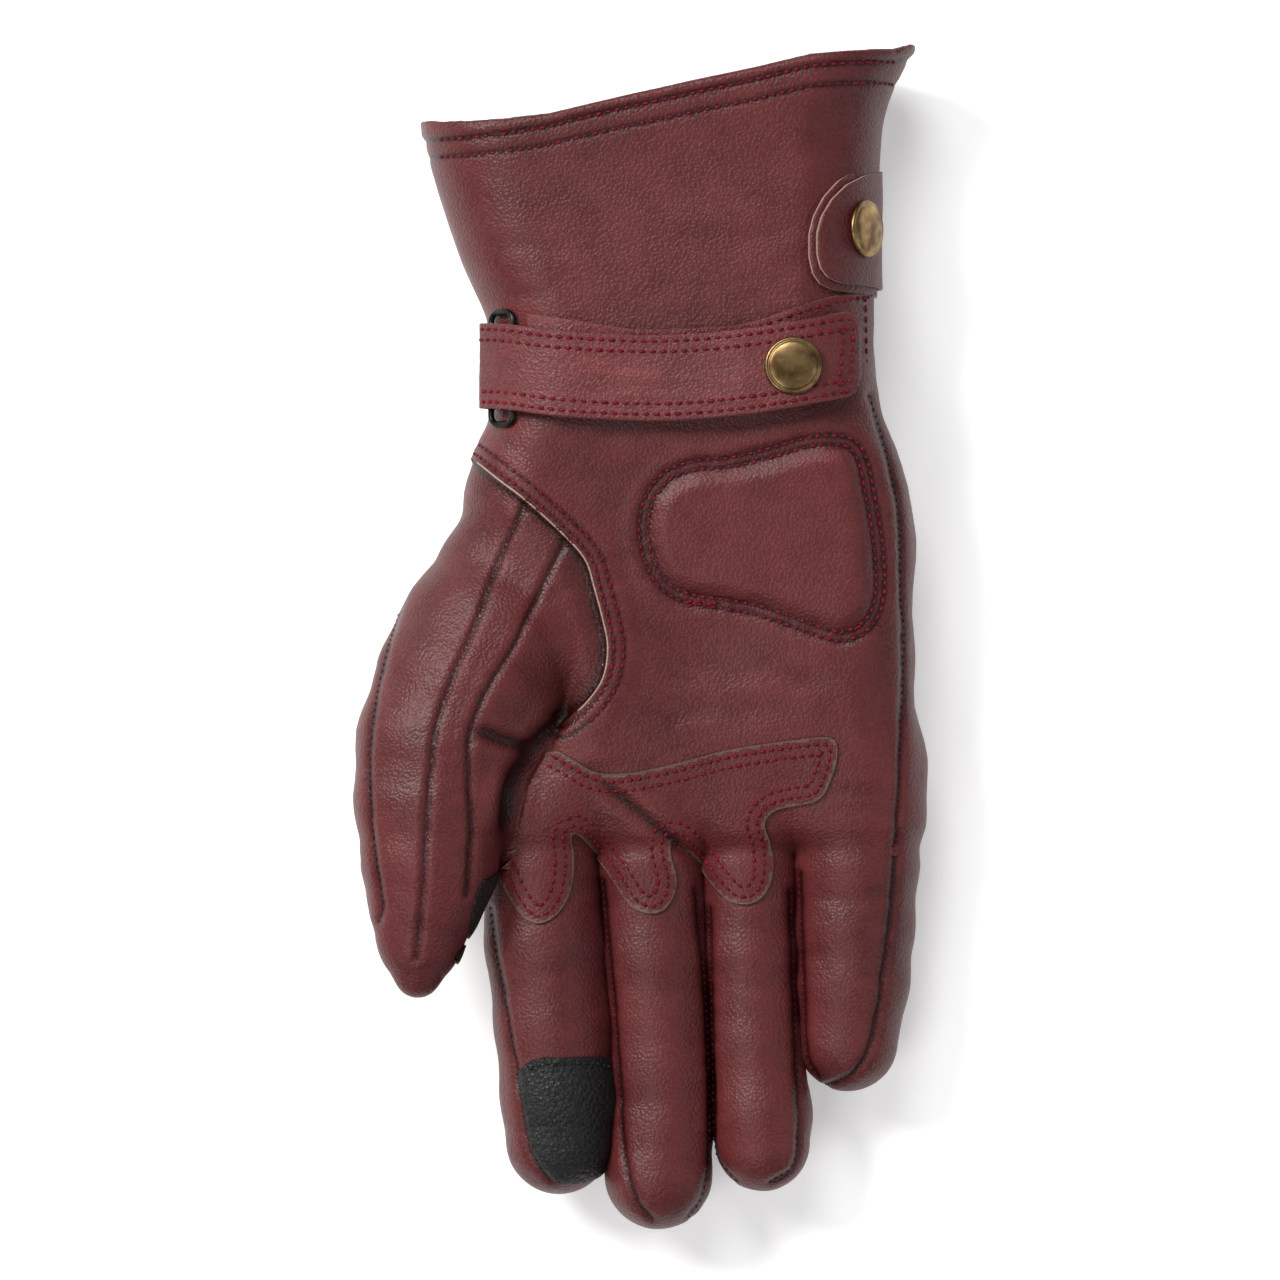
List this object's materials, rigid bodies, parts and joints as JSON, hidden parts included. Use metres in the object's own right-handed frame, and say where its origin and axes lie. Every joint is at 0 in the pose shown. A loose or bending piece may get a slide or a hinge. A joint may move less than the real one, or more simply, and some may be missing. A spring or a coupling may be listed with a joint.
{
  "type": "leather riding glove",
  "caption": "Right-hand padded leather riding glove with touch-sensitive fingertips, a wrist strap folded through a ring and a press-stud cuff tab.",
  "frame": {"origin": "on the surface that the glove lies on, below the middle of its outline", "axes": "+Z out of the palm, +Y towards the cuff, -Y towards the fingertips, -X towards the thumb"},
  "size_m": [0.1254, 0.2646, 0.0498],
  "materials": {
    "glove_leather": "soft semi-gloss oxblood leather",
    "strap_leather": "oxblood leather with raw tan edges and crimson stitching",
    "touch_leather": "black conductive leather",
    "lining": "dark knitted fleece",
    "foam": "soft foam padding",
    "elastic": "woven elastic",
    "brass": "antique brass",
    "gunmetal": "dark gunmetal wire"
  },
  "bodies": {
    "hand": {"back_pad_cover": "glove_leather", "back_pad_foam": "foam", "back_panel": "glove_leather", "cuff_back_panel": "glove_leather", "cuff_hem": "glove_leather", "cuff_lining": "lining", "cuff_palm_panel": "glove_leather", "hand_lining": "lining", "heel_pad_foam": "foam", "palm_panel": "glove_leather", "palm_reinforcement": "strap_leather", "ring_keeper": "strap_leather", "side_strip": "glove_leather", "strap_base": "strap_leather", "strap_snap_stud": "brass", "tab_anchor": "strap_leather", "tab_snap_stud": "brass", "thumb_base_back": "glove_leather", "thumb_base_lining": "lining", "thumb_base_panel": "glove_leather", "wrist_elastic": "elastic", "wrist_ring": "gunmetal"},
    "strap_end": {"strap_free_end": "strap_leather", "strap_snap_cap": "brass", "strap_snap_socket": "brass"},
    "cuff_tab": {"tab_inner": "strap_leather", "tab_outer": "strap_leather", "tab_snap_cap": "brass", "tab_snap_socket": "brass"},
    "index_finger": {"index_finger_back": "glove_leather", "index_finger_front": "glove_leather", "index_finger_inner_side": "glove_leather", "index_finger_lining": "lining", "index_touch_patch": "touch_leather"},
    "middle_finger": {"middle_finger_back": "glove_leather", "middle_finger_front": "glove_leather", "middle_finger_inner_side": "glove_leather", "middle_finger_lining": "lining", "middle_finger_outer_side": "glove_leather"},
    "ring_finger": {"ring_finger_back": "glove_leather", "ring_finger_front": "glove_leather", "ring_finger_inner_side": "glove_leather", "ring_finger_lining": "lining", "ring_finger_outer_side": "glove_leather"},
    "little_finger": {"little_finger_back": "glove_leather", "little_finger_front": "glove_leather", "little_finger_lining": "lining", "little_finger_outer_side": "glove_leather"},
    "thumb": {"thumb_back": "glove_leather", "thumb_front": "glove_leather", "thumb_gusset": "glove_leather", "thumb_lining": "lining", "thumb_outer_side": "glove_leather", "thumb_touch_patch": "touch_leather"}
  },
  "joints": [
    {"name": "strap_open", "type": "hinge", "parent": "hand", "child": "strap_end", "pos_m": [-0.03294, 0.06, 0.03372], "axis": [0, -1, 0], "range_deg": [0, 150]},
    {"name": "cuff_tab_open", "type": "hinge", "parent": "hand", "child": "cuff_tab", "pos_m": [0.05282, 0.0908, 0.018], "axis": [0, 1, 0], "range_deg": [0, 110]},
    {"name": "index_flex", "type": "hinge", "parent": "hand", "child": "index_finger", "pos_m": [-0.0223, -0.0454, 0.0296], "axis": [-1, 0, 0], "range_deg": [0, 64]},
    {"name": "middle_flex", "type": "hinge", "parent": "hand", "child": "middle_finger", "pos_m": [0.0022, -0.0454, 0.0284], "axis": [-1, 0, 0], "range_deg": [0, 70]},
    {"name": "ring_flex", "type": "hinge", "parent": "hand", "child": "ring_finger", "pos_m": [0.0246, -0.0454, 0.0275], "axis": [-1, 0, 0], "range_deg": [0, 70]},
    {"name": "little_flex", "type": "hinge", "parent": "hand", "child": "little_finger", "pos_m": [0.0489, -0.0454, 0.0303], "axis": [-1, 0, 0], "range_deg": [0, 70]},
    {"name": "thumb_spread", "type": "hinge", "parent": "hand", "child": "thumb", "pos_m": [-0.06242, -0.02025, 0.0296], "axis": [0, 0, -1], "range_deg": [0, 30]}
  ]
}
